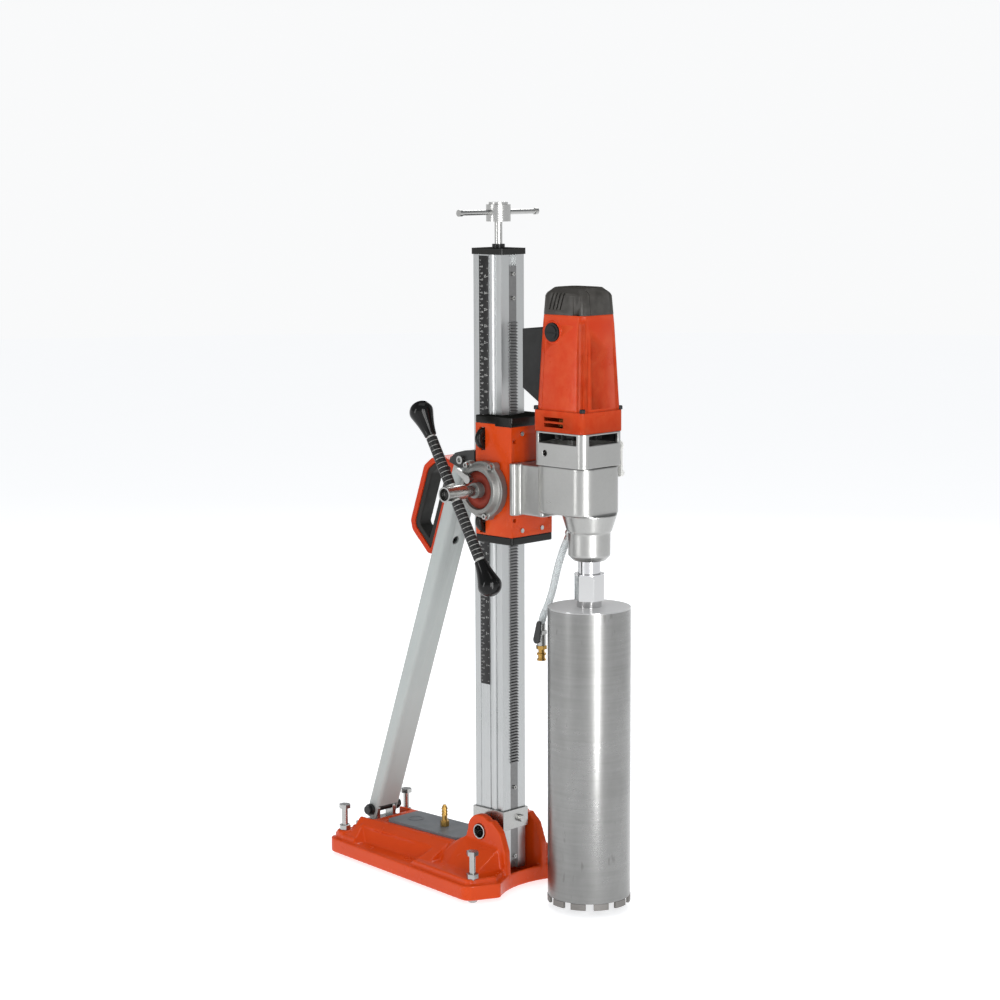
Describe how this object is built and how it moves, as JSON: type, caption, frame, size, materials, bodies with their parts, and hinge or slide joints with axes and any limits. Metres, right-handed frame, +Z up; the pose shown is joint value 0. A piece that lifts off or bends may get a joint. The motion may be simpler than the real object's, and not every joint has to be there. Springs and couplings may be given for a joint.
{
  "type": "core drill rig",
  "caption": "Electric core drill on a braced tilting column: geared carriage with crank, water-fed wet core bit and a levelling base plate.",
  "frame": {"origin": "on the floor under the column's axis, at the level of the levelling screws' feet", "axes": "+Z up along the column, -Y towards the drill and the core bit, -X towards the crank"},
  "size_m": [0.2675, 0.5721, 1.0776],
  "materials": {
    "orange_casting": "gloss",
    "plate_grey": "satin",
    "brass": "satin",
    "zinc_steel": "satin",
    "dark_steel": "satin",
    "column_aluminium": "satin",
    "gear_steel": "satin",
    "black_plastic": "satin",
    "brace_tube": "satin",
    "orange_plastic": "gloss",
    "black_rubber": "matte",
    "cap_grey": "satin",
    "grey_casting": "satin",
    "cast_aluminium": "satin",
    "winding_steel": "matte",
    "clear_hose": "gloss",
    "black_grip": "gloss",
    "chrome_steel": "polished",
    "bit_steel": "satin",
    "segment_metal": "matte",
    "white_plastic": "satin",
    "switch_red": "gloss"
  },
  "bodies": {
    "base": {"base_casting": "orange_casting", "cover_plate": "plate_grey", "vacuum_nipple": "brass", "pivot_tube": "zinc_steel", "lock_nuts": "zinc_steel", "brace_bracket": "zinc_steel", "brace_pin": "dark_steel"},
    "levelling_1": {"levelling_screw_1": "zinc_steel"},
    "levelling_2": {"levelling_screw_2": "zinc_steel"},
    "levelling_3": {"levelling_screw_3": "zinc_steel"},
    "levelling_4": {"levelling_screw_4": "zinc_steel"},
    "column": {"column": "column_aluminium", "rack": "gear_steel", "column_screws": "zinc_steel", "top_cap": "black_plastic", "column_foot": "zinc_steel"},
    "brace": {"brace_tube": "brace_tube", "brace_head": "dark_steel", "fork_bolt": "zinc_steel", "carry_handle": "orange_plastic", "handle_grip": "black_rubber"},
    "slider": {"slot_slider": "zinc_steel"},
    "carriage": {"carriage_shell": "orange_casting", "carriage_top_cover": "cap_grey", "carriage_bottom_cover": "cap_grey", "feed_housing": "grey_casting", "carriage_screws": "zinc_steel", "mount_plate": "gear_steel", "gear_case": "cast_aluminium", "gear_head": "cast_aluminium", "motor_housing": "orange_plastic", "motor_cap": "cap_grey", "brush_caps": "black_plastic", "stator": "winding_steel", "electronics_box": "black_plastic", "bearings": "gear_steel", "water_inlet": "brass", "hose": "clear_hose", "valve_body": "zinc_steel", "hose_coupling": "brass"},
    "valve_lever": {"valve_lever": "dark_steel"},
    "crank": {"crank_shaft": "zinc_steel", "crank_bar": "black_rubber", "crank_grips": "black_grip"},
    "pinion": {"feed_pinion": "gear_steel"},
    "roller_1": {"roller_1": "black_plastic"},
    "roller_2": {"roller_2": "black_plastic"},
    "roller_3": {"roller_3": "black_plastic"},
    "roller_4": {"roller_4": "black_plastic"},
    "carriage_lock": {"carriage_lock": "dark_steel"},
    "spindle": {"spindle": "chrome_steel", "core_bit": "bit_steel", "bit_segments": "segment_metal"},
    "layshaft": {"layshaft": "gear_steel"},
    "armature": {"armature": "winding_steel"},
    "gear_selector": {"gear_selector": "white_plastic"},
    "power_switch": {"power_switch": "switch_red"},
    "jack_pad": {"jack_pad": "zinc_steel"},
    "jack_screw": {"jack_screw": "zinc_steel"},
    "tommy_bar": {"tommy_bar": "zinc_steel"}
  },
  "joints": [
    {"name": "levelling_1_height", "type": "slide", "parent": "base", "child": "levelling_1", "axis": [0, 0, 1], "range_m": [-0.02, 0]},
    {"name": "levelling_2_height", "type": "slide", "parent": "base", "child": "levelling_2", "axis": [0, 0, 1], "range_m": [-0.02, 0]},
    {"name": "levelling_3_height", "type": "slide", "parent": "base", "child": "levelling_3", "axis": [0, 0, 1], "range_m": [-0.02, 0]},
    {"name": "levelling_4_height", "type": "slide", "parent": "base", "child": "levelling_4", "axis": [0, 0, 1], "range_m": [-0.02, 0]},
    {"name": "column_tilt", "type": "hinge", "parent": "base", "child": "column", "pos_m": [0, 0, 0.091], "axis": [-1, 0, 0], "range_deg": [0, 45]},
    {"name": "brace_swing", "type": "hinge", "parent": "base", "child": "brace", "pos_m": [0, 0.276, 0.071], "axis": [-1, 0, 0], "range_deg": [0, 51.3]},
    {"name": "slider_travel", "type": "slide", "parent": "column", "child": "slider", "axis": [0, 0, 1], "range_m": [0, 0.2222]},
    {"name": "carriage_feed", "type": "slide", "parent": "column", "child": "carriage", "axis": [0, 0, 1], "range_m": [-0.37, 0.24]},
    {"name": "crank_turn", "type": "hinge", "parent": "carriage", "child": "crank", "pos_m": [0, -0.01765, 0.6385], "axis": [1, 0, 0], "range_deg": [-3327, 2159]},
    {"name": "pinion_turn", "type": "hinge", "parent": "carriage", "child": "pinion", "pos_m": [0, -0.04465, 0.6385], "axis": [1, 0, 0], "range_deg": [-1080, 1664]},
    {"name": "roller_1_turn", "type": "hinge", "parent": "carriage", "child": "roller_1", "pos_m": [-0.04165, -0.0075, 0.716], "axis": [0, 1, 0], "range_deg": [-1286, 835]},
    {"name": "roller_2_turn", "type": "hinge", "parent": "carriage", "child": "roller_2", "pos_m": [-0.04165, -0.0075, 0.587], "axis": [0, 1, 0], "range_deg": [-1286, 835]},
    {"name": "roller_3_turn", "type": "hinge", "parent": "carriage", "child": "roller_3", "pos_m": [0.04165, -0.0075, 0.716], "axis": [0, 1, 0], "range_deg": [-835, 1286]},
    {"name": "roller_4_turn", "type": "hinge", "parent": "carriage", "child": "roller_4", "pos_m": [0.04165, -0.0075, 0.587], "axis": [0, 1, 0], "range_deg": [-835, 1286]},
    {"name": "carriage_lock_turn", "type": "hinge", "parent": "carriage", "child": "carriage_lock", "pos_m": [-0.066, -0.00265, 0.6545], "axis": [1, 0, 0], "range_deg": [0, 90]},
    {"name": "spindle_spin", "type": "hinge", "parent": "carriage", "child": "spindle", "pos_m": [0, -0.19, 0.6], "axis": [0, 0, 1], "continuous": true},
    {"name": "layshaft_spin", "type": "hinge", "parent": "carriage", "child": "layshaft", "pos_m": [0.02225, -0.16363, 0.65], "axis": [0, 0, 1], "continuous": true},
    {"name": "armature_spin", "type": "hinge", "parent": "carriage", "child": "armature", "pos_m": [0, -0.167, 0.75], "axis": [0, 0, 1], "continuous": true},
    {"name": "gear_selector_turn", "type": "hinge", "parent": "carriage", "child": "gear_selector", "pos_m": [0.046, -0.205, 0.7125], "axis": [1, 0, 0], "range_deg": [0, 60]},
    {"name": "power_switch_rock", "type": "hinge", "parent": "carriage", "child": "power_switch", "pos_m": [0.0275, -0.1015, 0.8535], "axis": [0, 1, 0], "range_deg": [0, 8]},
    {"name": "valve_turn", "type": "hinge", "parent": "carriage", "child": "valve_lever", "pos_m": [-0.011, -0.09, 0.406], "axis": [-1, 0, 0], "range_deg": [0, 90]},
    {"name": "jack_height", "type": "slide", "parent": "column", "child": "jack_pad", "axis": [0, 0, 1], "range_m": [-0.03, 0.06]},
    {"name": "jack_turn", "type": "hinge", "parent": "jack_pad", "child": "jack_screw", "pos_m": [0, 0, 1.062], "axis": [0, 0, 1], "range_deg": [-2700, 5400]},
    {"name": "tommy_slide", "type": "slide", "parent": "jack_screw", "child": "tommy_bar", "axis": [1, 0, 0], "range_m": [-0.06, 0.06]}
  ],
  "couplings": [
    {"joint": "brace_swing", "follows": "column_tilt", "ratio": 1.1376},
    {"joint": "slider_travel", "follows": "column_tilt", "m_per_rad": 0.28249},
    {"joint": "crank_turn", "follows": "carriage_feed", "rad_per_m": 156.86},
    {"joint": "pinion_turn", "follows": "carriage_feed", "rad_per_m": -78.431},
    {"joint": "roller_1_turn", "follows": "carriage_feed", "rad_per_m": 60.606},
    {"joint": "roller_2_turn", "follows": "carriage_feed", "rad_per_m": 60.606},
    {"joint": "roller_3_turn", "follows": "carriage_feed", "rad_per_m": -60.606},
    {"joint": "roller_4_turn", "follows": "carriage_feed", "rad_per_m": -60.606},
    {"joint": "layshaft_spin", "follows": "spindle_spin", "ratio": -2.8333},
    {"joint": "armature_spin", "follows": "spindle_spin", "ratio": 7.3667},
    {"joint": "jack_turn", "follows": "jack_height", "rad_per_m": 1570.8}
  ]
}
